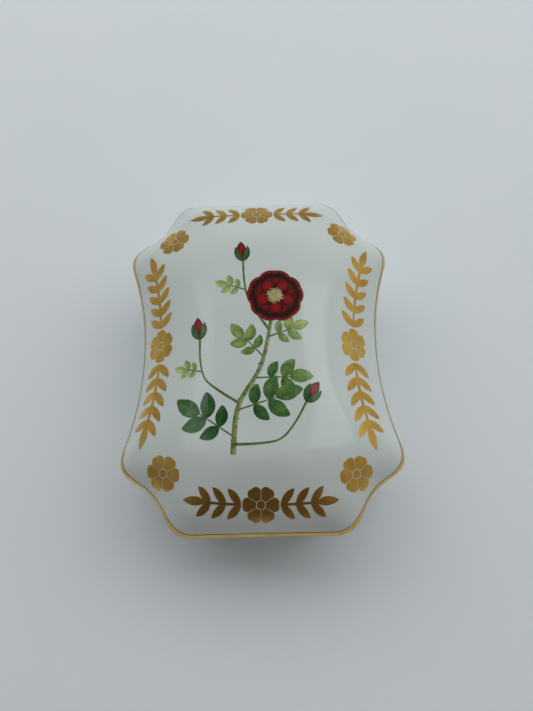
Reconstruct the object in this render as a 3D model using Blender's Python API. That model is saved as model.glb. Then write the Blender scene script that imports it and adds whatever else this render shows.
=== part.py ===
"""Porcelain trinket box: a domed lift-off lid resting on a footed tray.

World frame: metres, +Z up, X across the width, Y along the length.
The origin is the middle of the flat face that the box stands on.

Both pieces share one outline: straight ends, hollowed sides and a scooped
hollow at each corner. Every other size is an inset from that outline.
"""
import math

import bmesh
import bpy
import numpy as np
from mathutils import Vector

MM = 0.001

# Outline of the lid's lower edge
LENGTH = 103.6 * MM
WAIST_WIDTH = 69.8 * MM
SIDE_RADIUS = 86.0 * MM
SCOOP_RADIUS = 17.1 * MM
SCOOP_CENTRE = (43.3 * MM, 52.4 * MM)
END_CORNER_BLEND = 7.0 * MM
LOBE_BLEND = 8.5 * MM
POINTS_ROUND = 96
ARC_STEPS = 2

# Heights above the table
FOOT_RECESS = 1.2 * MM
TRAY_FLOOR = 4.0 * MM
LEDGE_HEIGHT = 26.0 * MM
LIP_RISE = 2.5 * MM
SEAM_GAP = 0.3 * MM
LID_SEAT = LEDGE_HEIGHT + SEAM_GAP

# The lid's slope and its crowned top panel
RIM_SLOPE = 2.05
UPPER_SLOPE = 0.445
SHOULDER_REACH = 3.5 * MM
PANEL_RISE = 15.8 * MM
PANEL_RADIUS_ACROSS = 119.0 * MM
PANEL_RADIUS_ALONG = 534.0 * MM
CREST_BLEND = 1.4 * MM
LID_THICKNESS = 3.6 * MM
EDGE_ROUND = 0.45 * MM

# Insets from the lid's outline
TRAY_INSET = 1.0 * MM
LID_BORE_INSET = 5.0 * MM
LIP_INSET = LID_BORE_INSET + 0.4 * MM
LIP_THICKNESS = 2.0 * MM
TRAY_WALL = 3.3 * MM
WALL_TAPER = 1.2 * MM
FOOT_INSET = 5.0 * MM
FOOT_WIDTH = 2.6 * MM

# Rings of the lid: insets down its slope, then shares of the innermost of those
SLOPE_INSETS = [inset * MM for inset in (8.0, 6.4, 5.0, 3.6, 2.3, 1.2)]
PANEL_SHARES = (0.14, 0.3, 0.42, 0.52, 0.62, 0.74, 0.87)


def smooth_min(a, b, width):
    """Lesser of two values, rounded off where they differ by less than width."""
    overlap = max(width - abs(a - b), 0.0)
    return min(a, b) - overlap ** 2 / (4 * width)


def edge_distance(x, y):
    """How far a plan point lies inside the outline."""
    end = LENGTH / 2 - abs(y)
    side = math.hypot(WAIST_WIDTH / 2 + SIDE_RADIUS - abs(x), y) - SIDE_RADIUS
    scoop = math.hypot(SCOOP_CENTRE[0] - abs(x), SCOOP_CENTRE[1] - abs(y)) - SCOOP_RADIUS
    return smooth_min(smooth_min(side, scoop, LOBE_BLEND), end, END_CORNER_BLEND)


def reach(angle, inset):
    """Distance from the middle to the outline's inset curve, in one direction."""
    near, far = 0.0, LENGTH
    for _ in range(40):
        middle = (near + far) / 2
        if edge_distance(middle * math.cos(angle), middle * math.sin(angle)) > inset:
            near = middle
        else:
            far = middle
    return near


def even_angles():
    """Directions that step evenly along the outline."""
    fine = np.linspace(0.0, 2 * math.pi, 721)
    radii = np.array([reach(angle, 0.0) for angle in fine])
    steps = np.hypot(np.diff(radii * np.cos(fine)), np.diff(radii * np.sin(fine)))
    travelled = np.concatenate([[0.0], np.cumsum(steps)])
    wanted = np.linspace(0.0, travelled[-1], POINTS_ROUND, endpoint=False)
    return np.interp(wanted, travelled, fine)


ANGLES = even_angles()


def plan_ring(inset):
    """Plan points of the curve that lies inset from the outline."""
    return [(reach(a, inset) * math.cos(a), reach(a, inset) * math.sin(a)) for a in ANGLES]


def level_ring(inset, height):
    return [(x, y, height) for x, y in plan_ring(inset)]


def lid_height(x, y):
    """Height of the lid's outer face above its seat."""
    inset = edge_distance(x, y)
    shoulder = (RIM_SLOPE - UPPER_SLOPE) * SHOULDER_REACH
    slope = EDGE_ROUND + UPPER_SLOPE * inset + shoulder * (1 - math.exp(-inset / SHOULDER_REACH))
    panel = PANEL_RISE - x ** 2 / (2 * PANEL_RADIUS_ACROSS) - y ** 2 / (2 * PANEL_RADIUS_ALONG)
    return smooth_min(slope, panel, CREST_BLEND)


def draped_ring(plan, drop=0.0):
    """A plan ring laid on the lid's outer face, or a drop below it."""
    return [(x, y, lid_height(x, y) - drop) for x, y in plan]


def loft(name, start, rings, finish, material):
    """One closed body: a centre point, rings in order, and a centre point."""
    mesh = bmesh.new()
    loops = [[mesh.verts.new(point) for point in ring] for ring in rings]
    for inner, outer in zip(loops, loops[1:]):
        for i in range(POINTS_ROUND):
            j = (i + 1) % POINTS_ROUND
            mesh.faces.new((inner[i], outer[i], outer[j], inner[j]))
    for centre, loop in ((start, loops[0]), (finish, loops[-1])):
        hub = mesh.verts.new(centre)
        for i in range(POINTS_ROUND):
            mesh.faces.new((hub, loop[i], loop[(i + 1) % POINTS_ROUND]))
    bmesh.ops.recalc_face_normals(mesh, faces=mesh.faces)
    data = bpy.data.meshes.new(name)
    mesh.to_mesh(data)
    mesh.free()
    data.shade_smooth()
    data.set_sharp_from_angle(angle=math.radians(40))
    data.materials.append(material)
    piece = bpy.data.objects.new(name, data)
    bpy.context.scene.collection.objects.link(piece)
    return piece


def porcelain(name, colour, roughness):
    material = bpy.data.materials.new(name)
    material.use_nodes = True
    shader = material.node_tree.nodes["Principled BSDF"]
    shader.inputs["Base Color"].default_value = (*colour, 1.0)
    shader.inputs["Roughness"].default_value = roughness
    shader.inputs["Metallic"].default_value = 0.0
    return material


def make_lid():
    """Hollow lid; its origin is on the line it lifts along, at its seat."""
    slope_base = plan_ring(SLOPE_INSETS[0])
    panel = [[(x * share, y * share) for x, y in slope_base] for share in PANEL_SHARES]
    slope = [plan_ring(inset) for inset in SLOPE_INSETS]
    bore = plan_ring(LID_BORE_INSET)

    outer = [draped_ring(plan) for plan in panel + slope]
    turns = [math.pi / 2 * step / ARC_STEPS for step in range(ARC_STEPS + 1)]
    edge = [level_ring(EDGE_ROUND * (1 - math.cos(a)), EDGE_ROUND * (1 - math.sin(a))) for a in turns]
    inner = [
        level_ring(LID_BORE_INSET, 0.0),
        draped_ring(bore, LID_THICKNESS),
        draped_ring(slope_base, LID_THICKNESS),
    ]
    inner += [draped_ring(plan, LID_THICKNESS) for plan in reversed(panel)]

    crown = (0.0, 0.0, lid_height(0.0, 0.0))
    hollow_top = (0.0, 0.0, crown[2] - LID_THICKNESS)
    glaze = porcelain("lid_porcelain", (0.90, 0.92, 0.89), 0.10)
    lid = loft("lid", crown, outer + edge + inner, hollow_top, glaze)
    lid.location = (0.0, 0.0, LID_SEAT)


def filleted(corners):
    """Section through (inset, height, radius) corners, each rounded by an arc."""
    points = []
    for i, (inset, height, radius) in enumerate(corners):
        corner = Vector((inset, height))
        if radius == 0.0:
            points.append(corner)
            continue
        before = (Vector(corners[i - 1][:2]) - corner).normalized()
        after = (Vector(corners[i + 1][:2]) - corner).normalized()
        half = before.angle(after) / 2
        centre = corner + (before + after).normalized() * radius / math.sin(half)
        start = (corner + before * radius / math.tan(half) - centre).normalized()
        finish = (corner + after * radius / math.tan(half) - centre).normalized()
        for step in range(ARC_STEPS + 1):
            points.append(centre + start.slerp(finish, step / ARC_STEPS) * radius)
    return points


def make_base():
    """Tray with a foot ring, a ledge for the lid and a lip that keeps the lid in place."""
    lip_inner = LIP_INSET + LIP_THICKNESS
    lip_top = LEDGE_HEIGHT + LIP_RISE
    heel_inset = TRAY_INSET + WALL_TAPER
    foot_inner = FOOT_INSET + FOOT_WIDTH
    section = filleted([
        # underside and foot ring
        (foot_inner + 6.0 * MM, FOOT_RECESS, 0.0),
        (foot_inner + 0.5 * MM, FOOT_RECESS, 0.4 * MM),
        (foot_inner, 0.0, 0.3 * MM),
        (FOOT_INSET, 0.0, 0.3 * MM),
        (FOOT_INSET - 0.3 * MM, 1.8 * MM, 0.5 * MM),
        # heel and outer wall
        (heel_inset, 2.6 * MM, 2.2 * MM),
        (TRAY_INSET, LEDGE_HEIGHT, EDGE_ROUND),
        # ledge and lip
        (LIP_INSET, LEDGE_HEIGHT, 0.3 * MM),
        (LIP_INSET, lip_top, 0.6 * MM),
        (lip_inner, lip_top, 0.6 * MM),
        # inside of the wall, which bellies out below the lip
        (lip_inner, LEDGE_HEIGHT - 1.0 * MM, 1.5 * MM),
        (TRAY_INSET + TRAY_WALL, LEDGE_HEIGHT - 5.0 * MM, 3.0 * MM),
        (heel_inset + TRAY_WALL, TRAY_FLOOR, 3.5 * MM),
        (heel_inset + TRAY_WALL + 6.0 * MM, TRAY_FLOOR, 0.0),
    ])
    rings = [level_ring(inset, height) for inset, height in section]
    glaze = porcelain("base_porcelain", (0.90, 0.92, 0.89), 0.10)
    loft("base", (0.0, 0.0, FOOT_RECESS), rings, (0.0, 0.0, TRAY_FLOOR), glaze)


for old in list(bpy.data.objects):
    bpy.data.objects.remove(old, do_unlink=True)
make_base()
make_lid()
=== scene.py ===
"""Looks of the porcelain trinket box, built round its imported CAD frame.

Metres, in the frame's own axes: X across the box, Y along it, Z up. Plan points are
(x, y). The lid's outer face is the formula lid_height, and all gilding and print is
laid on that face as closed films a few hundredths of a millimetre thick.
"""
import math

import bmesh
import bpy
import numpy as np
from mathutils import Matrix, Vector


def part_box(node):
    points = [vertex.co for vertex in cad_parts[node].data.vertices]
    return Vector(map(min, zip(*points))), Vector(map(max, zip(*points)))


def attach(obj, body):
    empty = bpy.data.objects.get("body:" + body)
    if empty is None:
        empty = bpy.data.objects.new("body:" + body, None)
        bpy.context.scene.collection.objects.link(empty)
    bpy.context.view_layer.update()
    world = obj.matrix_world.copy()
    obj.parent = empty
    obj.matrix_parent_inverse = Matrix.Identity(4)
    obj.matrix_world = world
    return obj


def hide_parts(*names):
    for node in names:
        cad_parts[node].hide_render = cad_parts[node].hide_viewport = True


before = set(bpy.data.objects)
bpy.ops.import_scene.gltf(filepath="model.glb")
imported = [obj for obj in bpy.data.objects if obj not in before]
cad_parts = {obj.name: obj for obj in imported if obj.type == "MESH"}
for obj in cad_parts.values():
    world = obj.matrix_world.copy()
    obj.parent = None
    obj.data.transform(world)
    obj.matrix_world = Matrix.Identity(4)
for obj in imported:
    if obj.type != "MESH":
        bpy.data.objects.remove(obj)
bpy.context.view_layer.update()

# ---------------------------------------------------------------- sizes from the frame
lid_low, lid_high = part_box("lid")
base_low, base_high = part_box("base")
LENGTH = lid_high.y - lid_low.y
DESIGN_LENGTH = 103.6                    # the lid's length in design millimetres
MM = LENGTH / DESIGN_LENGTH              # one design millimetre, in metres
LID_SEAT = lid_low.z
PANEL_RISE = lid_high.z - lid_low.z
LIP_TOP = base_high.z
SEAM_GAP = 0.3 * MM                      # between the base's ledge and the lid's seat
LEDGE_HEIGHT = LID_SEAT - SEAM_GAP

# Outline of the lid's lower edge, as in the CAD
WAIST_WIDTH = 69.8 * MM
SIDE_RADIUS = 86.0 * MM
SCOOP_RADIUS = 17.1 * MM
SCOOP_CENTRE = (43.3 * MM, 52.4 * MM)
END_CORNER_BLEND = 7.0 * MM
LOBE_BLEND = 8.5 * MM
POINTS_ROUND = 480

# The lid's slope and crowned panel, as in the CAD
RIM_SLOPE = 2.05
UPPER_SLOPE = 0.445
SHOULDER_REACH = 3.5 * MM
PANEL_RADIUS_ACROSS = 119.0 * MM
PANEL_RADIUS_ALONG = 534.0 * MM
CREST_BLEND = 1.4 * MM
LID_THICKNESS = 3.6 * MM
EDGE_ROUND = 0.45 * MM

# Insets from the lid's outline, as in the CAD
TRAY_INSET = 1.0 * MM
LID_BORE_INSET = 5.0 * MM
LIP_CLEARANCE = 0.4 * MM
LIP_INSET = LID_BORE_INSET + LIP_CLEARANCE
LIP_THICKNESS = 2.0 * MM
TRAY_WALL = 3.3 * MM
WALL_TAPER = 1.2 * MM
HEEL_HEIGHT = 2.6 * MM                   # where the base's wall turns in to the foot
FOOT_INSET = 5.0 * MM
FOOT_WIDTH = 2.6 * MM
FOOT_RECESS = 1.2 * MM
TRAY_FLOOR = 4.0 * MM

# Films on the glaze
FILM_DEPTH = 0.04 * MM                   # how far a film reaches down into the glaze
GOLD_LIFT = 0.035 * MM
STEM_LIFT = 0.020 * MM
LEAF_LIFT = 0.032 * MM
FLOWER_LIFT = 0.044 * MM
GOLD_LINE_WIDTH = 1.15 * MM

# Border ornament, drawn flat and then laid on the lid's slope
GOLD_FLOWER_RADIUS = 4.9 * MM
GOLD_BUTTON_RADIUS = 1.1 * MM
GOLD_HAIRLINE = 0.13 * MM                # bare glaze left between petals
SIDE_SQUEEZE = 0.81                      # plan width of the border artwork on the steep long sides
END_SQUEEZE = 0.96                       # ... on the short ends
CORNER_SQUEEZE = 0.93                    # ... in the corner scoops
NEARLY_STRAIGHT = 10 * LENGTH            # bend of artwork that is not bent


# ---------------------------------------------------------------- the box's surfaces
def mm(*values):
    """Design millimetres as metres."""
    return tuple(value * MM for value in values)


def smooth_min(a, b, width):
    """Lesser of two values, rounded off where they differ by less than width."""
    overlap = np.maximum(width - np.abs(a - b), 0.0)
    return np.minimum(a, b) - overlap ** 2 / (4 * width)


def edge_distance(x, y):
    """How far plan points lie inside the outline."""
    end = LENGTH / 2 - np.abs(y)
    side = np.hypot(WAIST_WIDTH / 2 + SIDE_RADIUS - np.abs(x), y) - SIDE_RADIUS
    scoop = np.hypot(SCOOP_CENTRE[0] - np.abs(x), SCOOP_CENTRE[1] - np.abs(y)) - SCOOP_RADIUS
    return smooth_min(smooth_min(side, scoop, LOBE_BLEND), end, END_CORNER_BLEND)


def slope_height(inset):
    """Height of the lid's slope above its seat, at an inset from the outline."""
    shoulder = (RIM_SLOPE - UPPER_SLOPE) * SHOULDER_REACH
    return EDGE_ROUND + UPPER_SLOPE * inset + shoulder * (1 - np.exp(-inset / SHOULDER_REACH))


def lid_height(x, y):
    """Height of the lid's outer face above its seat."""
    panel = PANEL_RISE - x ** 2 / (2 * PANEL_RADIUS_ACROSS) - y ** 2 / (2 * PANEL_RADIUS_ALONG)
    return smooth_min(slope_height(edge_distance(x, y)), panel, CREST_BLEND)


def on_lid(plan, lift):
    """Plan points carried up to the lid's outer face, and out along its normal by lift."""
    x, y = plan[..., 0], plan[..., 1]
    step = 0.05 * MM
    rise_x = (lid_height(x + step, y) - lid_height(x - step, y)) / (2 * step)
    rise_y = (lid_height(x, y + step) - lid_height(x, y - step)) / (2 * step)
    normal = np.stack([-rise_x, -rise_y, np.ones_like(x)], -1)
    normal /= np.linalg.norm(normal, axis=-1, keepdims=True)
    face = np.stack([x, y, lid_height(x, y) + LID_SEAT], -1)
    return face + normal * lift


def reach(angles, inset):
    """Distance from the middle to the outline's inset curve, in each direction."""
    near = np.zeros_like(angles)
    far = np.full_like(angles, LENGTH)
    for _ in range(40):
        middle = (near + far) / 2
        inside = edge_distance(middle * np.cos(angles), middle * np.sin(angles)) > inset
        near = np.where(inside, middle, near)
        far = np.where(inside, far, middle)
    return near


def even_angles():
    """Directions that step evenly along the outline."""
    fine = np.linspace(0.0, 2 * math.pi, 1441)
    radii = reach(fine, 0.0)
    steps = np.hypot(np.diff(radii * np.cos(fine)), np.diff(radii * np.sin(fine)))
    travelled = np.concatenate([[0.0], np.cumsum(steps)])
    wanted = np.linspace(0.0, travelled[-1], POINTS_ROUND, endpoint=False)
    return np.interp(wanted, travelled, fine)


ANGLES = even_angles()


def plan_ring(inset):
    """Plan points of the curve that lies inset from the outline."""
    radii = reach(ANGLES, inset)
    return np.stack([radii * np.cos(ANGLES), radii * np.sin(ANGLES)], -1)


def level_ring(inset, height):
    """The same curve, at one height."""
    plan = plan_ring(inset)
    return np.concatenate([plan, np.full((POINTS_ROUND, 1), height)], -1)


def draped_ring(plan, drop=0.0):
    """Plan points on the lid's outer face, or straight below it by drop."""
    height = lid_height(plan[:, 0], plan[:, 1]) + LID_SEAT - drop
    return np.concatenate([plan, height[:, None]], -1)


def filleted(corners, arc_steps=6):
    """Section through (inset, height, radius) corners, each rounded by an arc."""
    points = []
    for i, (inset, height, radius) in enumerate(corners):
        corner = Vector((inset, height))
        if radius == 0.0:
            points.append(corner)
            continue
        before = (Vector(corners[i - 1][:2]) - corner).normalized()
        after = (Vector(corners[i + 1][:2]) - corner).normalized()
        half = before.angle(after) / 2
        centre = corner + (before + after).normalized() * radius / math.sin(half)
        start = (corner + before * radius / math.tan(half) - centre).normalized()
        finish = (corner + after * radius / math.tan(half) - centre).normalized()
        for step in range(arc_steps + 1):
            points.append(centre + start.slerp(finish, step / arc_steps) * radius)
    return points


# ---------------------------------------------------------------- meshes
def grid_faces(rows, columns, wrap_rows=False, wrap_columns=False):
    """Quads between the points of a grid that is numbered row by row."""
    row, column = np.meshgrid(
        np.arange(rows if wrap_rows else rows - 1),
        np.arange(columns if wrap_columns else columns - 1),
        indexing="ij",
    )
    next_row, next_column = (row + 1) % rows, (column + 1) % columns
    corners = [
        row * columns + column,
        row * columns + next_column,
        next_row * columns + next_column,
        next_row * columns + column,
    ]
    return np.stack(corners, -1).reshape(-1, 4)


def add_piece(name, points, faces, materials, body, face_materials=None, uv=None, tone=None):
    """A smooth-shaded piece that rides on a body and takes its finish from a slot."""
    data = bpy.data.meshes.new(name)
    data.from_pydata([tuple(p) for p in points], [], [tuple(f) for f in faces])
    if face_materials is not None:
        data.polygons.foreach_set("material_index", np.asarray(face_materials, np.int32))
    if uv is not None:
        corner_points = np.empty(len(data.loops), np.int32)
        data.loops.foreach_get("vertex_index", corner_points)
        layer = data.uv_layers.new(name="Print")
        layer.data.foreach_set("uv", np.asarray(uv, np.float32)[corner_points].ravel())
    if tone is not None:
        data.attributes.new("tone", "FLOAT", "POINT").data.foreach_set("value", tone)
    mesh = bmesh.new()
    mesh.from_mesh(data)
    bmesh.ops.recalc_face_normals(mesh, faces=mesh.faces)
    mesh.to_mesh(data)
    mesh.free()
    data.shade_smooth()
    data.set_sharp_from_angle(angle=math.radians(50))
    for material in materials:
        data.materials.append(material)
    piece = bpy.data.objects.new(name, data)
    bpy.context.scene.collection.objects.link(piece)
    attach(piece, body)
    return piece


def lofted_body(name, rings, hubs, materials, ring_materials, body):
    """One closed body through rings, shut by a fan to a hub point at either end."""
    rows = len(rings)
    points = np.concatenate([np.concatenate(rings), hubs])
    walls = grid_faces(rows, POINTS_ROUND, wrap_columns=True).tolist()
    kinds = np.repeat(ring_materials, POINTS_ROUND).tolist()
    for hub, first in ((rows * POINTS_ROUND, 0), (rows * POINTS_ROUND + 1, (rows - 1) * POINTS_ROUND)):
        for i in range(POINTS_ROUND):
            walls.append((hub, first + i, first + (i + 1) % POINTS_ROUND))
            kinds.append(0)
    return add_piece(name, points, walls, materials, body, kinds)


def make_lid(glaze, clay):
    """Fine lid: panel, slope and nose outside, bare seat, glazed hollow inside."""
    shoulder = plan_ring(8.0 * MM)
    panel = [shoulder * share for share in np.linspace(0.03, 0.97, 36)]
    slope = [plan_ring(inset * MM) for inset in np.linspace(8.0, 0.25, 32)]
    rings = [draped_ring(plan) for plan in panel + slope]
    nose_turns = np.linspace(0.0, math.pi / 2, 7)
    rings += [
        level_ring(EDGE_ROUND * (1 - math.cos(a)), LID_SEAT + EDGE_ROUND * (1 - math.sin(a)))
        for a in nose_turns
    ]
    first_bare = len(rings)
    seat_round = 0.3 * MM
    rings += [
        level_ring(LID_BORE_INSET - seat_round * math.cos(a), LID_SEAT + seat_round * (1 - math.sin(a)))
        for a in nose_turns[::-1]
    ]
    last_bare = len(rings)
    hollow = [plan_ring(inset * MM) for inset in (5.0, 5.5, 6.0, 6.6, 7.3, 8.0)]
    rings += [draped_ring(plan, LID_THICKNESS) for plan in hollow + panel[::-1]]
    kinds = [1 if first_bare <= row + 1 <= last_bare else 0 for row in range(len(rings) - 1)]
    crown = lid_height(np.array(0.0), np.array(0.0)) + LID_SEAT
    hubs = [(0.0, 0.0, crown), (0.0, 0.0, crown - LID_THICKNESS)]
    lid = lofted_body("lid_shell", rings, hubs, [glaze, clay], kinds, "lid")
    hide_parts("lid")


def make_base(glaze, clay):
    """Fine tray with foot ring, ledge and lip; its touching faces are bare clay."""
    lip_inner = LIP_INSET + LIP_THICKNESS
    heel_inset = TRAY_INSET + WALL_TAPER
    foot_inner = FOOT_INSET + FOOT_WIDTH
    section = filleted([
        (foot_inner + 6.0 * MM, FOOT_RECESS, 0.0),
        (foot_inner + 0.5 * MM, FOOT_RECESS, 0.4 * MM),
        (foot_inner, 0.0, 0.3 * MM),
        (FOOT_INSET, 0.0, 0.3 * MM),
        (FOOT_INSET - 0.3 * MM, 1.8 * MM, 0.5 * MM),
        (heel_inset, HEEL_HEIGHT, 2.2 * MM),
        (TRAY_INSET, LEDGE_HEIGHT, EDGE_ROUND),
        (LIP_INSET, LEDGE_HEIGHT, 0.3 * MM),
        (LIP_INSET, LIP_TOP, 0.6 * MM),
        (lip_inner, LIP_TOP, 0.6 * MM),
        (lip_inner, LEDGE_HEIGHT - 1.0 * MM, 1.5 * MM),
        (TRAY_INSET + TRAY_WALL, LEDGE_HEIGHT - 5.0 * MM, 3.0 * MM),
        (heel_inset + TRAY_WALL, TRAY_FLOOR, 3.5 * MM),
        (heel_inset + TRAY_WALL + 6.0 * MM, TRAY_FLOOR, 0.0),
    ])
    rings = [level_ring(inset, height) for inset, height in section]
    heights = [height for _, height in section]
    kinds = []
    for height, next_height in zip(heights, heights[1:]):
        under_foot = max(height, next_height) < 0.2 * MM
        seat = min(height, next_height) > LEDGE_HEIGHT - 0.05 * MM
        kinds.append(1 if under_foot or seat else 0)
    hubs = [(0.0, 0.0, FOOT_RECESS), (0.0, 0.0, TRAY_FLOOR)]
    base = lofted_body("base_tray", rings, hubs, [glaze, clay], kinds, "base")
    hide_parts("base")


def make_line(name, rings, bulge, material, body):
    """Gilded line round the box: a closed film over a few rings, fuller in its middle.

    Its texture place across counts up to 1 at the last ring, over one full line's width.
    """
    surface = np.stack(rings)
    around = np.roll(surface, -1, axis=1) - np.roll(surface, 1, axis=1)
    normal = np.cross(around, np.gradient(surface, axis=0))
    normal /= np.linalg.norm(normal, axis=-1, keepdims=True)
    if (normal[..., :2] * surface[..., :2]).sum() < 0:
        normal = -normal
    across = np.linspace(0.0, 1.0, len(rings))
    lift = GOLD_LIFT + bulge * np.sin(math.pi * across)[:, None, None]
    loop = np.concatenate([surface + normal * lift, (surface - normal * FILM_DEPTH)[::-1]])
    steps = np.linalg.norm(np.diff(surface, axis=0), axis=-1)
    to_last = np.concatenate([np.cumsum(steps[::-1], axis=0)[::-1], np.zeros((1, POINTS_ROUND))])
    place = np.maximum(1 - to_last / GOLD_LINE_WIDTH, 0.0)
    place = np.concatenate([place, place[::-1]])
    along = np.linspace(0.0, 1.0, POINTS_ROUND)
    uv = np.stack(np.broadcast_arrays(along[None, :], place), -1).reshape(-1, 2)
    faces = grid_faces(len(loop), POINTS_ROUND, wrap_rows=True, wrap_columns=True)
    return add_piece(name, loop.reshape(-1, 3), faces, [material], body, uv=uv)


def smooth_step(value, low, high):
    """0 up to low, 1 from high, and an S-shaped rise between."""
    t = np.clip((value - low) / (high - low), 0.0, 1.0)
    return t * t * (3 - 2 * t)


def painted_width():
    """Width of the lid's line round the box: fullest along the near end, then at the far lobes."""
    y = plan_ring(0.0)[:, 1] / MM
    far_lobe = smooth_step(y, 0.0, 14.0) * (1 - smooth_step(y, 30.0, 38.0))
    near_lobe = smooth_step(-y, 12.0, 30.0)
    near_end = smooth_step(-y, 43.0, 49.0)
    fullness = 0.36 + 0.30 * far_lobe + 0.30 * near_lobe + 0.16 * near_end
    wobble = 1 + 0.05 * np.sin(11 * ANGLES) + 0.04 * np.sin(27 * ANGLES + 1.0)
    return GOLD_LINE_WIDTH * fullness * wobble


def make_gold_lines(gold_line):
    """The line on the lid's nose and lower slope, and one under the base's ledge."""
    turns = np.linspace(math.radians(60), 0.0, 6)[:-1]
    nose = [
        level_ring(EDGE_ROUND * (1 - math.cos(a)), LID_SEAT + EDGE_ROUND * (1 - math.sin(a)))
        for a in turns
    ]
    climb = [draped_ring(plan_ring(share * painted_width())) for share in np.linspace(0.0, 1.0, 9)]
    make_line("lid_gold_line", nose + climb, 0.05 * MM, gold_line, "lid")
    fall = WALL_TAPER / (LEDGE_HEIGHT - HEEL_HEIGHT)
    depths = np.linspace(0.5 * MM, 1.4 * MM, 5)
    wall = [level_ring(TRAY_INSET + depth * fall, LEDGE_HEIGHT - depth) for depth in depths]
    make_line("base_gold_line", wall, 0.03 * MM, gold_line, "base")


# ---------------------------------------------------------------- flat shapes of the print
# A patch is a grid of plan points, the same grid of texture places, a tone and a lift.
def curve_through(knots, count):
    """Points of a smooth curve that passes through a few knots."""
    knots = np.array(knots, float)
    padded = np.concatenate([[2 * knots[0] - knots[1]], knots, [2 * knots[-1] - knots[-2]]])
    places = np.linspace(0.0, len(knots) - 1 - 1e-9, count)
    first = places.astype(int)
    t = (places - first)[:, None]
    a, b, c, d = (padded[first + k] for k in range(4))
    bend = (2 * a - 5 * b + 4 * c - d) * t ** 2 + (3 * b - a - 3 * c + d) * t ** 3
    return (2 * b + (c - a) * t + bend) / 2


def sideways(spine):
    """Unit vectors to the left of a curve, at each of its points."""
    along = np.gradient(spine, axis=0)
    left = np.stack([-along[:, 1], along[:, 0]], -1)
    return left / np.linalg.norm(left, axis=1, keepdims=True)


def strip(spine, half_widths, columns, tone, lift):
    """Patch along a spine, reaching half_widths to either side of it."""
    across = np.linspace(-1.0, 1.0, columns)
    offsets = half_widths[:, None, None] * across[None, :, None] * sideways(spine)[:, None, :]
    grid = spine[:, None, :] + offsets
    u = np.linspace(0.0, 1.0, len(spine))
    uv = np.stack(np.broadcast_arrays(u[:, None], across[None, :] / 2 + 0.5), -1)
    return grid, uv, tone, lift


def stem(knots, widths, tone=0.5, lift=STEM_LIFT):
    """Stalk through knots, its width running evenly from the first to the last given."""
    spine = curve_through(knots, 10 * len(knots))
    half = np.interp(np.linspace(0, 1, len(spine)), np.linspace(0, 1, len(widths)), widths) / 2
    return strip(spine, half, 5, tone, lift)


def leaf(root, tip, width, bow=0.0, tone=0.5, teeth=0, fullness=0.8, lift=LEAF_LIFT):
    """Leaf from root to tip; bow bends its midrib to the left, as a share of its length."""
    rows = 4 * teeth + 1 if teeth else 17
    t = np.linspace(0.0, 1.0, rows)
    root, tip = np.array(root, float), np.array(tip, float)
    chord = tip - root
    left = np.array([-chord[1], chord[0]])
    spine = root + chord * t[:, None] + left * (4 * bow * t * (1 - t))[:, None]
    half = width / 2 * np.maximum(np.sin(math.pi * t ** 0.88), 0.0) ** fullness
    if teeth:
        half = half * (1 - 0.09 * ((t * teeth) % 1.0))
    return strip(spine, np.maximum(half, 0.02 * MM), 9, tone, lift)


def fan(centre, heading, half_angle, inner, outer, tone=0.5, notch=0.0, lift=FLOWER_LIFT,
        turn_in=0.25, gap=0.0):
    """Petal that opens from a centre, between two radii, with a gap of even width beside it."""
    t = np.linspace(0.0, 1.0, 11)[:, None]
    s = np.linspace(-1.0, 1.0, 21)[None, :]
    tip = outer * (1 - turn_in * np.abs(s) ** 3.2 - notch * np.exp(-(s / 0.22) ** 2))
    radius = inner + (tip - inner) * t
    angle = heading + s * (half_angle - np.arcsin(gap / 2 / radius))
    grid = np.stack([centre[0] + radius * np.cos(angle), centre[1] + radius * np.sin(angle)], -1)
    uv = np.stack(np.broadcast_arrays(t, s / 2 + 0.5), -1)
    return grid, uv, tone, lift


def disc(centre, radius, tone=0.5, lift=FLOWER_LIFT):
    """Round patch, its square grid eased out to a circle."""
    u, v = np.meshgrid(np.linspace(-1, 1, 15), np.linspace(-1, 1, 15), indexing="ij")
    x, y = u * np.sqrt(1 - v ** 2 / 2), v * np.sqrt(1 - u ** 2 / 2)
    grid = np.stack([centre[0] + radius * x, centre[1] + radius * y], -1)
    return grid, np.stack([x / 2 + 0.5, y / 2 + 0.5], -1), tone, lift


def moved(patches, place):
    """The same patches with their plan points carried by place."""
    return [(place(grid), uv, tone, lift) for grid, uv, tone, lift in patches]


def make_print(name, patches, material):
    """One piece of closed films, laid on the lid's outer face."""
    points, faces, places, tones, start = [], [], [], [], 0
    for grid, uv, tone, lift in patches:
        rows, columns = grid.shape[:2]
        count = rows * columns
        top = on_lid(grid, lift).reshape(-1, 3)
        bottom = on_lid(grid, -FILM_DEPTH).reshape(-1, 3)
        sheet = grid_faces(rows, columns)
        index = np.arange(count).reshape(rows, columns)
        rim = np.concatenate([index[0], index[1:, -1], index[-1, -2::-1], index[-2:0:-1, 0]])
        after = np.roll(rim, -1)
        wall = np.stack([rim, after, after + count, rim + count], -1)
        faces.append(np.concatenate([sheet, sheet[:, ::-1] + count, wall]) + start)
        points += [top, bottom]
        places += [uv.reshape(-1, 2)] * 2
        tones.append(np.full(2 * count, tone))
        start += 2 * count
    uv = np.concatenate(places)
    tone = np.concatenate(tones)
    return add_piece(
        name, np.concatenate(points), np.concatenate(faces), [material], "lid",
        uv=uv, tone=tone,
    )


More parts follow.
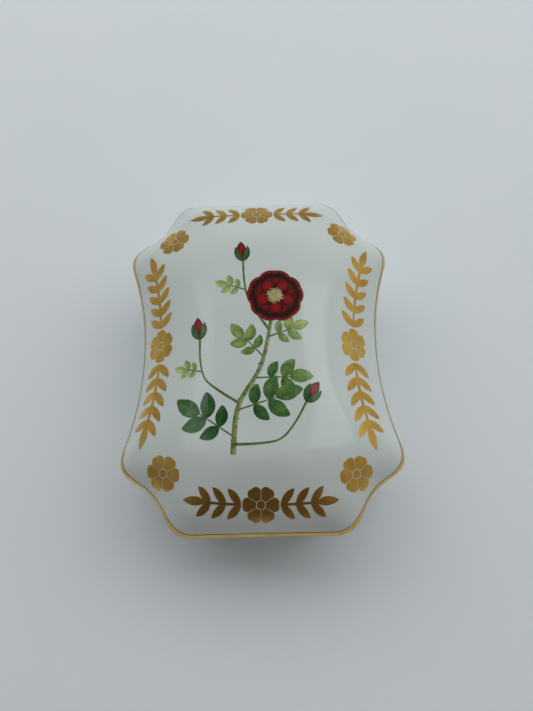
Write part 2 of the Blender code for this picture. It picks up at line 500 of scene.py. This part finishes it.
# ---------------------------------------------------------------- gold border
def beside(centre, inward_heading, bend, squeeze):
    """Places (along, inward) artwork at a centre, its axis bent to a radius.

    A positive bend turns the artwork's tips inward. Squeeze scales the inward direction.
    """
    heading = math.radians(inward_heading)
    inward = np.array([math.cos(heading), math.sin(heading)])
    along = np.array([inward[1], -inward[0]])

    def place(grid):
        turn = grid[..., :1] / bend
        across = grid[..., 1:] * squeeze
        step_along = (bend - across) * np.sin(turn)
        step_inward = bend - (bend - across) * np.cos(turn)
        return np.array(centre) + step_along * along + step_inward * inward

    return place


def gold_flower(turn):
    """Six rounded petals round a button, parted by hairlines of bare glaze."""
    petals = [
        fan((0, 0), math.radians(turn + 60 * k), math.pi / 6, GOLD_BUTTON_RADIUS + 1.4 * GOLD_HAIRLINE,
            GOLD_FLOWER_RADIUS, notch=0.03, lift=GOLD_LIFT, turn_in=0.22, gap=GOLD_HAIRLINE)
        for k in range(6)
    ]
    return petals + [disc((0, 0), GOLD_BUTTON_RADIUS, lift=GOLD_LIFT)]


def gold_leaf(start, side, length, width, headings, lift):
    """Leaf with a broad foot on the stalk, its heading swung from one angle to another."""
    t = np.linspace(0.0, 1.0, 15)
    heading = np.radians(headings[0] + (headings[1] - headings[0]) * t)
    steps = np.stack([np.cos(heading), side * np.sin(heading)], -1) * length / (len(t) - 1)
    spine = (start, 0.0) + np.cumsum(steps, axis=0) - steps[0]
    foot = 0.60 + 0.40 * np.sin(math.pi * np.minimum(t, 0.45) / 0.9)
    point = np.cos(math.pi / 2 * np.maximum(t - 0.45, 0.0) / 0.55) ** 0.7
    half = width / 2 * np.maximum(foot * point, 0.03)
    return strip(spine, half, 7, 0.5, lift)


def gold_spray(style, pitch, outer_share, rng):
    """Half a border: a stalk with leaf pairs and a tip leaf, running away from a flower.

    Outer_share is the length of its outer leaves beside that of the inner ones.
    """
    last = style["first_pair"] + (style["pairs"] - 1) * pitch
    stalk = [(GOLD_FLOWER_RADIUS + 0.2 * MM, 0), (last / 2, 0), (last + 1.8 * MM, 0)]
    patches = [stem(stalk, [0.3 * MM, style["stalk"], style["stalk"]], lift=GOLD_LIFT)]
    for pair in range(style["pairs"]):
        for side in (-1, 1):
            share = outer_share if side < 0 else 1.0
            length = style["length"] * share * rng.uniform(0.96, 1.03)
            lift = GOLD_LIFT + 0.002 * MM * (pair + 1)
            start = style["first_pair"] + pair * pitch
            patches.append(gold_leaf(start, side, length, style["width"], style["headings"], lift))
    end = last + 1.0 * MM
    patches.append(leaf((end, 0), (end + style["tip"], 0), style["tip_width"], bow=0.02,
                        fullness=0.75, lift=GOLD_LIFT + 0.014 * MM))
    return patches


def flipped(patches):
    """Patches mirrored along the border, for a spray that runs the other way."""
    return [(grid * (-1, 1), uv, tone, lift) for grid, uv, tone, lift in patches]


# first_pair is the distance from the flower's centre to its first pair of leaves
SIDE_STYLE = {
    "pairs": 5, "first_pair": 6.05 * MM, "length": 5.7 * MM, "width": 2.3 * MM, "headings": (64, 42),
    "stalk": 1.1 * MM, "tip": 6.8 * MM, "tip_width": 2.75 * MM, "squeeze": SIDE_SQUEEZE,
}
END_STYLE = {
    "pairs": 3, "first_pair": 5.65 * MM, "length": 5.0 * MM, "width": 2.05 * MM, "headings": (62, 42),
    "stalk": 0.7 * MM, "tip": 6.0 * MM, "tip_width": 2.35 * MM, "squeeze": END_SQUEEZE,
}


def make_gold_border(gold):
    """Four borders and four corner flowers, each transfer a little off true as laid by hand."""
    rng = np.random.default_rng(7)
    for name, style, centre, heading, bend, (pitch, other_pitch), (share, other_share) in (
        ("gold_border_right", SIDE_STYLE, (26.6, -0.5), 178.6, -90.0, (4.45, 4.1), (0.92, 1.06)),
        ("gold_border_left", SIDE_STYLE, (-28.6, 0.7), -0.5, -95.0, (4.0, 3.85), (0.96, 0.92)),
        ("gold_border_near", END_STYLE, (-0.6, -43.9), 88.8, 150.0, (3.95, 3.95), (1.0, 1.0)),
        ("gold_border_far", END_STYLE, (-0.4, 42.3), 271.2, 570.0, (3.95, 3.95), (1.0, 1.0)),
    ):
        shapes = gold_flower(0.0)
        shapes += gold_spray(style, pitch * MM, share, rng)
        shapes += flipped(gold_spray(style, other_pitch * MM, other_share, rng))
        place = beside(mm(*centre), heading, bend * MM, style["squeeze"])
        make_print(name, moved(shapes, place), gold)
    for name, centre, heading, turn in (
        ("gold_flower_near_left", (-26.5, -35.2), 45.0, 36.0),
        ("gold_flower_near_right", (24.9, -36.5), 135.0, 25.0),
        ("gold_flower_far_left", (-25.5, 33.8), -45.0, 15.0),
        ("gold_flower_far_right", (25.7, 35.7), -135.0, 45.0),
    ):
        place = beside(mm(*centre), heading, NEARLY_STRAIGHT, CORNER_SQUEEZE)
        make_print(name, moved(gold_flower(turn), place), gold)


# ---------------------------------------------------------------- rose spray
# A plain spray of this script's own design: leaves that alternate up one stem, buds on
# side shoots, and an open rose at its head. Places are in design millimetres.
MAIN_STEM = ((-7.5, -31.5), (-6.0, -19.0), (0.5, -7.0), (4.5, 12.5))
THORN_SHARES = (0.10, 0.24, 0.38, 0.52, 0.66)
STEM_LEAVES = (                          # share of the way up, side (1 is left), size
    (0.12, 1, 18.5), (0.32, -1, 18.0), (0.56, -1, 15.5), (0.70, 1, 13.0), (0.80, -1, 12.0),
)
BUD_SHOOTS = (                           # share, side, length, angle to the stem, size of its leaf if any
    (0.08, -1, 25.0, 80.0, 0.0), (0.36, 1, 24.0, 74.0, 8.0), (0.84, 1, 24.0, 40.0, 9.0),
)
BUD_SIZE = 5.8
STEM_LEAF_ANGLE = math.radians(58)       # between a leaf and the stem it stands on
SHOOT_LEAF_ANGLE = math.radians(60)
SHOOT_LEAF_PLACE = 0.6                   # share of the way along its shoot
SHOOT_LEAF_TONE = 0.72
LOWEST_LEAF_TONE, LEAF_TONE_STEP = 0.12, 0.13
LEAFLET_PAIRS = (                        # share of the stalk, angle to it, length beside the leaf's
    (0.45, 64.0, 0.31), (0.82, 55.0, 0.38),
)
ROSE_RADIUS = 8.1
ROSE_PETALS = 5


def unit(angle):
    """Unit vector at an angle from +X."""
    return np.array([math.cos(angle), math.sin(angle)])


def stand_on(spine, share):
    """Point and heading at a share of the way along a curve."""
    place = int(share * (len(spine) - 1))
    along = np.gradient(spine, axis=0)[place]
    return spine[place], math.atan2(along[1], along[0])


def thorn(spine, share, side):
    """Small thorn that leans up a stem from one of its edges."""
    foot, heading = stand_on(spine, share)
    out = unit(heading + side * math.pi / 2)
    root = foot + out * 0.15 * MM
    tip = root + (out * 0.85 + unit(heading) * 0.5) * MM
    return leaf(root, tip, 0.45 * MM, tone=0.35, lift=STEM_LIFT - 0.004 * MM)


def compound_leaf(foot, heading, size, tone):
    """Rose leaf: its stalk, and the leaflets: two pairs and one at the tip."""
    end = foot + unit(heading) * 0.60 * size
    stalk = stem([foot, (foot + end) / 2, end], mm(0.5, 0.35), 0.6)
    leaflets = []
    for share, swing, length in LEAFLET_PAIRS:
        root = foot + (end - foot) * share
        for side in (-1, 1):
            tip = root + unit(heading + side * math.radians(swing)) * length * size
            leaflets.append((root, tip, 0.60 * length * size, 0.07 * side))
    leaflets.append((end, end + unit(heading) * 0.42 * size, 0.25 * size, 0.05))
    patches = [
        leaf(root, tip, width, bow, tone + 0.05 * order, teeth=9, fullness=0.72,
             lift=LEAF_LIFT + 0.004 * MM * order)
        for order, (root, tip, width, bow) in enumerate(leaflets)
    ]
    return stalk, patches


def closed_bud(foot, heading, size):
    """Sepals and red heart of a bud."""
    heart = leaf(foot, foot + unit(heading) * size, 0.52 * size, 0.03, 0.9, lift=LEAF_LIFT)
    sepals = [
        leaf(foot - unit(heading) * 0.15 * size, foot + unit(heading + 0.38 * side) * 0.78 * size,
             0.30 * size, 0.10 * side, 0.25, lift=LEAF_LIFT + 0.004 * MM * (order + 1))
        for order, side in enumerate((-1, 1))
    ]
    return sepals, heart


def bud_shoot(spine, share, side, length, leaving):
    """Side shoot that leaves a stem and then straightens up, as a curve."""
    foot, heading = stand_on(spine, share)
    middle = foot + unit(heading + side * math.radians(leaving)) * length / 2
    end = middle + unit(heading + side * math.radians(leaving * 0.4)) * length / 2
    return curve_through([foot, middle, end], 30)


def make_spray(stem_green, leaf_green, red):
    """Stem, thorns, leaves, side shoots and buds."""
    knots = [mm(*knot) for knot in MAIN_STEM]
    main = curve_through(knots, 60)
    stems = [stem(knots, mm(1.5, 1.2, 0.9), 0.74)]
    stems += [thorn(main, share, (-1) ** order) for order, share in enumerate(THORN_SHARES)]
    leaves, sepals, hearts = [], [], []
    for order, (share, side, size) in enumerate(STEM_LEAVES):
        foot, heading = stand_on(main, share)
        tone = LOWEST_LEAF_TONE + LEAF_TONE_STEP * order
        leaves.append(compound_leaf(foot, heading + side * STEM_LEAF_ANGLE, size * MM, tone))
    for share, side, length, leaving, leaf_size in BUD_SHOOTS:
        shoot = bud_shoot(main, share, side, length * MM, leaving)
        stems.append(stem(shoot[::7], mm(0.8, 0.5, 0.6), 0.55))
        bud_sepals, heart = closed_bud(*stand_on(shoot, 1.0), BUD_SIZE * MM)
        sepals += bud_sepals
        hearts.append(heart)
        if leaf_size:
            foot, heading = stand_on(shoot, SHOOT_LEAF_PLACE)
            leaf_heading = heading + side * SHOOT_LEAF_ANGLE
            leaves.append(compound_leaf(foot, leaf_heading, leaf_size * MM, SHOOT_LEAF_TONE))
    stems += [stalk for stalk, _ in leaves]
    make_print("rose_stems", stems, stem_green)
    for order, (_, leaflets) in enumerate(leaves):
        make_print(f"rose_leaf_{order + 1}", leaflets, leaf_green)
    make_print("rose_bud_sepals", sepals, leaf_green)
    make_print("rose_bud_petals", hearts, red)


def make_rose(petal, stamen):
    """Open rose: a ring of outer petals, a ring of inner ones and a pale, hairy heart.

    A petal's tone sets how much of the dark band and red hem it shows.
    """
    centre = mm(*MAIN_STEM[-1])
    for name, radius, half_angle, first_heading, tone, first_lift, notch, turn_in in (
        ("rose_outer_petals", ROSE_RADIUS, 42.0, 18.0, 0.45, FLOWER_LIFT, 0.03, 0.15),
        ("rose_inner_petals", 0.66 * ROSE_RADIUS, 36.0, 54.0, 0.95, FLOWER_LIFT + 0.05 * MM, 0.0, 0.35),
    ):
        make_print(name, [
            fan(centre, math.radians(first_heading + 360 / ROSE_PETALS * order), math.radians(half_angle),
                0.6 * MM, radius * MM, tone, notch=notch, lift=first_lift + 0.006 * MM * order,
                turn_in=turn_in)
            for order in range(ROSE_PETALS)
        ], petal)
    rng = np.random.default_rng(11)
    heart_lift = FLOWER_LIFT + 0.10 * MM
    hairs = [disc(centre, 1.7 * MM, 0.6, heart_lift)]
    hair_count = 46
    for k in range(hair_count):
        direction = unit(2 * math.pi * k / hair_count + rng.uniform(-0.1, 0.1))
        ends = [np.array(centre) + direction * share * MM for share in (0.3, rng.uniform(1.9, 2.6))]
        hairs.append(stem(ends, mm(0.12, 0.22), rng.uniform(0.1, 1.0), heart_lift + 0.006 * MM))
    make_print("rose_heart", hairs, stamen)


# ---------------------------------------------------------------- materials
def start_material(name):
    """A new material, with its node tree and its shader."""
    material = bpy.data.materials.new(name)
    material.use_nodes = True
    tree = material.node_tree
    return material, tree, tree.nodes["Principled BSDF"]


def add_node(tree, kind, inputs, **settings):
    """A shader node with its settings, and its inputs either set or linked."""
    node = tree.nodes.new("ShaderNode" + kind)
    for key, value in settings.items():
        setattr(node, key, value)
    for key, value in inputs.items():
        feed(tree, node.inputs[key], value)
    return node


def feed(tree, socket, value):
    """Link a socket to another one, or set it to a plain value."""
    if isinstance(value, bpy.types.NodeSocket):
        tree.links.new(value, socket)
    else:
        socket.default_value = value


def noise(tree, scale, detail=2.0, vector=None):
    """Noise value from 0 to 1; scale is features per metre."""
    if vector is None:
        vector = add_node(tree, "TexCoord", {}).outputs["Object"]
    return add_node(tree, "TexNoise", {"Scale": scale, "Detail": detail, "Vector": vector}).outputs["Fac"]


def spread(tree, value, low, high, to_low=0.0, to_high=1.0):
    """Value stretched from one range to another, and held there."""
    inputs = {"Value": value, "From Min": low, "From Max": high, "To Min": to_low, "To Max": to_high}
    return add_node(tree, "MapRange", inputs).outputs["Result"]


def combine(tree, operation, a, b):
    """Result of a Math node; b is ignored by operations on one value."""
    return add_node(tree, "Math", {0: a, 1: b}, operation=operation).outputs[0]


def mix_colours(tree, factor, a, b):
    """Colour a where factor is 0 and b where it is 1."""
    a, b = ((*c, 1.0) if isinstance(c, tuple) else c for c in (a, b))
    return add_node(tree, "Mix", {0: factor, 6: a, 7: b}, data_type="RGBA").outputs[2]


def colour_ramp(tree, value, stops):
    """Colour read from a value, between (place, colour) stops."""
    node = add_node(tree, "ValToRGB", {"Fac": value})
    elements = node.color_ramp.elements
    while len(elements) < len(stops):
        elements.new(0.5)
    for element, (place, colour) in zip(elements, stops):
        element.position = place
        element.color = (*colour, 1.0)
    return node.outputs["Color"]


def bump(tree, shader, height, distance):
    """Surface relief of a height from 0 to 1, distance deep."""
    node = add_node(tree, "Bump", {"Height": height, "Distance": distance, "Strength": 1.0})
    tree.links.new(node.outputs["Normal"], shader.inputs["Normal"])


def print_uv(tree):
    """The print's own (along, across) places, from 0 to 1."""
    uv = add_node(tree, "UVMap", {}, uv_map="Print").outputs["UV"]
    split = add_node(tree, "SeparateXYZ", {"Vector": uv})
    return split.outputs["X"], split.outputs["Y"]


def tone_value(tree):
    """The tone that a patch of print was made with."""
    return add_node(tree, "Attribute", {}, attribute_name="tone").outputs["Fac"]


def glaze_finish(tree, shader):
    """Clear gloss with the faint waviness of a fired glaze."""
    ripple = noise(tree, 170.0, 1.0)
    feed(tree, shader.inputs["Roughness"], spread(tree, noise(tree, 420.0), 0.3, 0.7, 0.07, 0.14))
    feed(tree, shader.inputs["IOR"], 1.5)
    bump(tree, shader, ripple, 0.00003)


def glazed_porcelain():
    """White body, faintly clouded, with a few specks under a clear glaze."""
    material, tree, shader = start_material("glazed_porcelain")
    cloud = spread(tree, noise(tree, 45.0, 3.0), 0.35, 0.65)
    body = mix_colours(tree, cloud, (0.650, 0.711, 0.665), (0.680, 0.736, 0.695))
    speck = spread(tree, noise(tree, 900.0, 2.0), 0.80, 0.84)
    feed(tree, shader.inputs["Base Color"], mix_colours(tree, speck, body, (0.30, 0.28, 0.24)))
    glaze_finish(tree, shader)
    return material


def bare_clay():
    """Matt fired clay where the glaze was wiped off."""
    material, tree, shader = start_material("bare_fired_clay")
    grain = noise(tree, 2600.0, 3.0)
    cloud = mix_colours(tree, noise(tree, 160.0), (0.60, 0.575, 0.52), (0.68, 0.655, 0.60))
    pits = spread(tree, grain, 0.62, 0.75)
    feed(tree, shader.inputs["Base Color"], mix_colours(tree, pits, cloud, (0.45, 0.42, 0.37)))
    shader.inputs["Roughness"].default_value = 0.85
    bump(tree, shader, grain, 0.00004)
    return material


def gold_colour(tree, depth):
    """Fired gold: richer where the gold lies thick."""
    return colour_ramp(tree, depth, [
        (0.0, (0.55, 0.29, 0.055)), (0.5, (0.70, 0.41, 0.085)), (1.0, (0.82, 0.52, 0.13)),
    ])


def printed_gold():
    """Gold transfer: grainy, clouded, and worn through in tiny spots."""
    material, tree, shader = start_material("printed_gold")
    cloud = spread(tree, noise(tree, 230.0, 4.0), 0.3, 0.7)
    grain = noise(tree, 5200.0, 2.0)
    depth = combine(tree, "ADD", combine(tree, "MULTIPLY", cloud, 0.7), combine(tree, "MULTIPLY", grain, 0.3))
    worn = spread(tree, noise(tree, 3300.0, 3.0), 0.735, 0.76)
    gold = mix_colours(tree, worn, gold_colour(tree, depth), (0.50, 0.44, 0.36))
    feed(tree, shader.inputs["Base Color"], gold)
    feed(tree, shader.inputs["Metallic"], spread(tree, worn, 0.0, 1.0, 0.92, 0.2))
    feed(tree, shader.inputs["Roughness"], spread(tree, depth, 0.2, 0.8, 0.42, 0.28))
    bump(tree, shader, grain, 0.00001)
    return material


def burnished_gold():
    """Gold line: bright, with a thin dark line of painted shade along its inner side."""
    material, tree, shader = start_material("gold_line")
    _, across = print_uv(tree)
    cloud = spread(tree, noise(tree, 160.0, 3.0), 0.3, 0.7)
    # painted shade: the line's inner edge is coloured near black and made less metallic, standing in for
    # shade
    painted_shade_line = spread(tree, across, 0.75, 0.81)
    bright = mix_colours(tree, cloud, (0.58, 0.35, 0.07), (0.76, 0.52, 0.13))
    gold = mix_colours(tree, painted_shade_line, bright, (0.065, 0.06, 0.055))
    feed(tree, shader.inputs["Base Color"], gold)
    feed(tree, shader.inputs["Metallic"], spread(tree, painted_shade_line, 0.0, 1.0, 1.0, 0.3))
    feed(tree, shader.inputs["Roughness"], spread(tree, noise(tree, 300.0), 0.3, 0.7, 0.20, 0.27))
    return material


def print_dots(tree, strength):
    """Uneven ink of a printed transfer, as a factor around 1."""
    return spread(tree, noise(tree, 2300.0, 3.0), 0.25, 0.75, 1 - strength, 1 + strength)


def darkened(tree, colour, factor):
    """Colour times a factor."""
    return add_node(tree, "VectorMath", {0: colour, "Scale": factor}, operation="SCALE").outputs[0]


def printed_leaf():
    """Leaf green by tone: mottled, deeper at the root, with a midrib and slanting veins."""
    material, tree, shader = start_material("printed_leaf")
    along, across = print_uv(tree)
    mottle = spread(tree, noise(tree, 520.0, 3.0), 0.3, 0.7, -0.13, 0.13)
    body = colour_ramp(tree, combine(tree, "ADD", tone_value(tree), mottle), [
        (0.0, (0.009, 0.060, 0.008)), (0.25, (0.042, 0.130, 0.034)), (0.45, (0.085, 0.195, 0.048)),
        (0.7, (0.25, 0.37, 0.10)), (1.0, (0.50, 0.58, 0.21)),
    ])
    half_shade = spread(tree, across, 0.40, 0.60, 0.86, 1.12)
    root_shade = spread(tree, along, 0.0, 0.4, 0.68, 1.05)
    from_rib = combine(tree, "ABSOLUTE", combine(tree, "SUBTRACT", across, 0.5), 0.0)
    rows = combine(tree, "MULTIPLY", along, 52.0)
    slant = combine(tree, "SUBTRACT", rows, combine(tree, "MULTIPLY", from_rib, 40.0))
    vein = spread(tree, combine(tree, "SINE", slant, 0.0), 0.6, 1.0, 1.0, 0.72)
    rib = spread(tree, from_rib, 0.0, 0.045, 0.30, 0.0)
    edge = spread(tree, from_rib, 0.36, 0.5, 1.0, 0.80)
    shade = combine(tree, "MULTIPLY", combine(tree, "MULTIPLY", half_shade, root_shade), vein)
    shade = combine(tree, "MULTIPLY", combine(tree, "MULTIPLY", shade, edge), print_dots(tree, 0.20))
    veined = mix_colours(tree, rib, darkened(tree, body, shade), (0.26, 0.36, 0.14))
    feed(tree, shader.inputs["Base Color"], veined)
    glaze_finish(tree, shader)
    return material


def printed_stem():
    """Stem green by tone, darker towards one side and blotched with olive."""
    material, tree, shader = start_material("printed_stem")
    _, across = print_uv(tree)
    body = colour_ramp(tree, tone_value(tree), [
        (0.0, (0.02, 0.075, 0.02)), (0.5, (0.105, 0.185, 0.05)), (1.0, (0.42, 0.46, 0.19)),
    ])
    blotch = spread(tree, noise(tree, 620.0, 2.0), 0.50, 0.62, 0.0, 0.6)
    tinted = mix_colours(tree, blotch, body, (0.075, 0.080, 0.022))
    shade = combine(tree, "MULTIPLY", spread(tree, across, 0.1, 0.9, 1.25, 0.65), print_dots(tree, 0.2))
    feed(tree, shader.inputs["Base Color"], darkened(tree, tinted, shade))
    glaze_finish(tree, shader)
    return material


def printed_petal():
    """Crimson petal by tone: dark to the edge, then dark band and red hem, then a glowing lobe."""
    material, tree, shader = start_material("printed_petal")
    along, across = print_uv(tree)
    tone = tone_value(tree)
    many = combine(tree, "MULTIPLY", across, 9.0)
    drawn_out = add_node(tree, "CombineXYZ", {"X": many, "Y": along, "Z": tone}).outputs[0]
    streak = noise(tree, 2.4, 3.0, drawn_out)
    place = combine(tree, "ADD", along, spread(tree, streak, 0.3, 0.7, -0.06, 0.06))
    band = combine(tree, "MULTIPLY", spread(tree, place, 0.58, 0.70), spread(tree, tone, 0.5, 0.8, 1.0, 0.30))
    hem = combine(tree, "MULTIPLY", spread(tree, place, 0.86, 0.93), spread(tree, tone, 0.1, 0.45, 0.12, 1.0))
    banded = mix_colours(tree, band, (0.20, 0.009, 0.008), (0.030, 0.009, 0.007))
    outer = mix_colours(tree, hem, banded, (0.25, 0.016, 0.015))
    offside = combine(tree, "ABSOLUTE", combine(tree, "SUBTRACT", across, 0.5), 0.0)
    beyond = combine(tree, "ABSOLUTE", combine(tree, "SUBTRACT", place, 0.64), 0.0)
    sideways_dark = combine(tree, "MULTIPLY", offside, 1.7)
    endways_dark = combine(tree, "MULTIPLY", beyond, 1.5)
    off_glow = spread(tree, combine(tree, "ADD", sideways_dark, endways_dark), 0.25, 0.85)
    lobe = mix_colours(tree, off_glow, (0.32, 0.007, 0.006), (0.085, 0.008, 0.007))
    body = mix_colours(tree, spread(tree, tone, 0.82, 0.86), outer, lobe)
    fold = spread(tree, offside, 0.36, 0.5, 1.0, 0.55)
    shade = combine(tree, "MULTIPLY", fold, print_dots(tree, 0.16))
    feed(tree, shader.inputs["Base Color"], darkened(tree, body, shade))
    glaze_finish(tree, shader)
    return material


def printed_stamen():
    """Pale yellow-green by tone."""
    material, tree, shader = start_material("printed_stamen")
    body = mix_colours(tree, tone_value(tree), (0.36, 0.33, 0.13), (0.66, 0.60, 0.30))
    feed(tree, shader.inputs["Base Color"], darkened(tree, body, print_dots(tree, 0.25)))
    glaze_finish(tree, shader)
    return material


# ---------------------------------------------------------------- stage, light and camera
def make_floor():
    """Plain pale table, matt, with the faint mottle of paper."""
    half = 2.5
    data = bpy.data.meshes.new("floor")
    corners = [(-half, -half, 0), (half, -half, 0), (half, half, 0), (-half, half, 0)]
    data.from_pydata(corners, [], [(0, 1, 2, 3)])
    floor = bpy.data.objects.new("floor", data)
    floor.location.z = base_low.z - 0.05 * MM
    bpy.context.scene.collection.objects.link(floor)
    material, tree, shader = start_material("pale_floor")
    mottle = spread(tree, noise(tree, 14.0, 4.0), 0.3, 0.7)
    paper = mix_colours(tree, mottle, (0.84, 0.885, 0.905), (0.86, 0.90, 0.915))
    feed(tree, shader.inputs["Base Color"], paper)
    shader.inputs["Roughness"].default_value = 0.8
    shader.inputs["Specular IOR Level"].default_value = 0.2
    bump(tree, shader, noise(tree, 1800.0, 3.0), 0.00002)
    data.materials.append(material)


def make_world():
    """Soft room, dimmer overhead, with a dark warm patch behind the viewer.

    The patch shows in the glaze and the gold, and barely dims the light that falls on
    the box. Seen directly, the room is plain.
    """
    world = bpy.data.worlds.new("soft_room")
    bpy.context.scene.world = world
    world.use_nodes = True
    tree = world.node_tree
    direction = add_node(tree, "TexCoord", {}).outputs["Generated"]
    split = add_node(tree, "SeparateXYZ", {"Vector": direction})
    across, away, up = (split.outputs[axis] for axis in "XYZ")
    above_horizon = spread(tree, up, 0.02, 0.14)
    behind_viewer = combine(tree, "MULTIPLY", spread(tree, away, -0.22, -0.70), above_horizon)
    plain_colour, plain_strength = (0.93, 0.98, 1.0), 0.36
    path = add_node(tree, "LightPath", {}).outputs
    patch_depth = spread(tree, path["Is Diffuse Ray"], 0.0, 1.0, 0.328, 0.22)
    patch = combine(tree, "MULTIPLY", behind_viewer, patch_depth)
    round_about = combine(tree, "SUBTRACT", plain_strength, patch)
    brighter_right = spread(tree, across, 0.0, 0.7, 0.0, 0.12)
    dimmer_ahead = spread(tree, away, 0.25, 0.8, 0.0, -0.07)
    leaning = combine(tree, "ADD", brighter_right, dimmer_ahead)
    sides = combine(tree, "ADD", round_about, leaning)
    overhead = spread(tree, up, 0.65, 0.90, 1.0, 0.25)
    warmth = combine(tree, "MULTIPLY", spread(tree, away, -0.45, -0.75), above_horizon)
    background = tree.nodes["Background"]
    seen = path["Is Camera Ray"]
    colour = mix_colours(tree, warmth, plain_colour, (1.0, 0.62, 0.60))
    feed(tree, background.inputs["Color"], mix_colours(tree, seen, colour, plain_colour))
    room = {0: seen, 2: combine(tree, "MULTIPLY", sides, overhead), 3: plain_strength}
    feed(tree, background.inputs["Strength"], add_node(tree, "Mix", room).outputs[0])


def add_area_light(name, place, target, size, watts, lights_surfaces=True, in_reflections=True):
    """Cool white rectangle of light, aimed from a place at a target."""
    data = bpy.data.lights.new(name, "AREA")
    data.shape = "RECTANGLE"
    data.size, data.size_y = size
    data.energy = watts
    data.color = (0.95, 0.98, 1.0)
    light = bpy.data.objects.new(name, data)
    light.location = place
    light.rotation_euler = (Vector(target) - Vector(place)).to_track_quat("-Z", "Y").to_euler()
    light.visible_diffuse = lights_surfaces
    light.visible_glossy = in_reflections
    bpy.context.scene.collection.objects.link(light)


def make_lights():
    """Soft key from behind, and two windows overhead that only show in the glaze."""
    add_area_light("soft_key", (0.05, 0.38, 0.58), (0, 0, 0), (2.4, 0.5), 5.55, in_reflections=False)
    add_area_light("window_right", (0.68, 0.16, 0.90), (0.68, 0.1601, 0), (0.74, 0.72), 2.1,
                   lights_surfaces=False)
    add_area_light("window_left", (-0.62, 0.16, 0.90), (-0.62, 0.1601, 0), (0.46, 0.72), 0.8,
                   lights_surfaces=False)


def make_camera():
    """Hand-held view from above the near end, looking down at the lid."""
    eye = Vector((1.15 * MM, -50.1 * MM, LID_SEAT + 152.9 * MM))
    elevation, heading, roll = (math.radians(a) for a in (71.9, 0.68, 0.57))
    data = bpy.data.cameras.new("camera")
    data.sensor_width = 36.0
    data.lens = 27.04
    data.clip_start = 0.005
    camera = bpy.data.objects.new("camera", data)
    tilt = Matrix.Rotation(math.pi / 2 - elevation, 4, "X")
    spin = Matrix.Rotation(-heading, 4, "Z")
    camera.matrix_world = Matrix.Translation(eye) @ spin @ tilt @ Matrix.Rotation(-roll, 4, "Z")
    bpy.context.scene.collection.objects.link(camera)
    bpy.context.scene.camera = camera


# ---------------------------------------------------------------- the box
glaze, clay = glazed_porcelain(), bare_clay()
make_lid(glaze, clay)
make_base(glaze, clay)
make_gold_lines(burnished_gold())
make_gold_border(printed_gold())
petal_red = printed_petal()
make_spray(printed_stem(), printed_leaf(), petal_red)
make_rose(petal_red, printed_stamen())

make_floor()
make_world()
make_lights()
make_camera()
bpy.context.scene.view_settings.view_transform = "Standard"
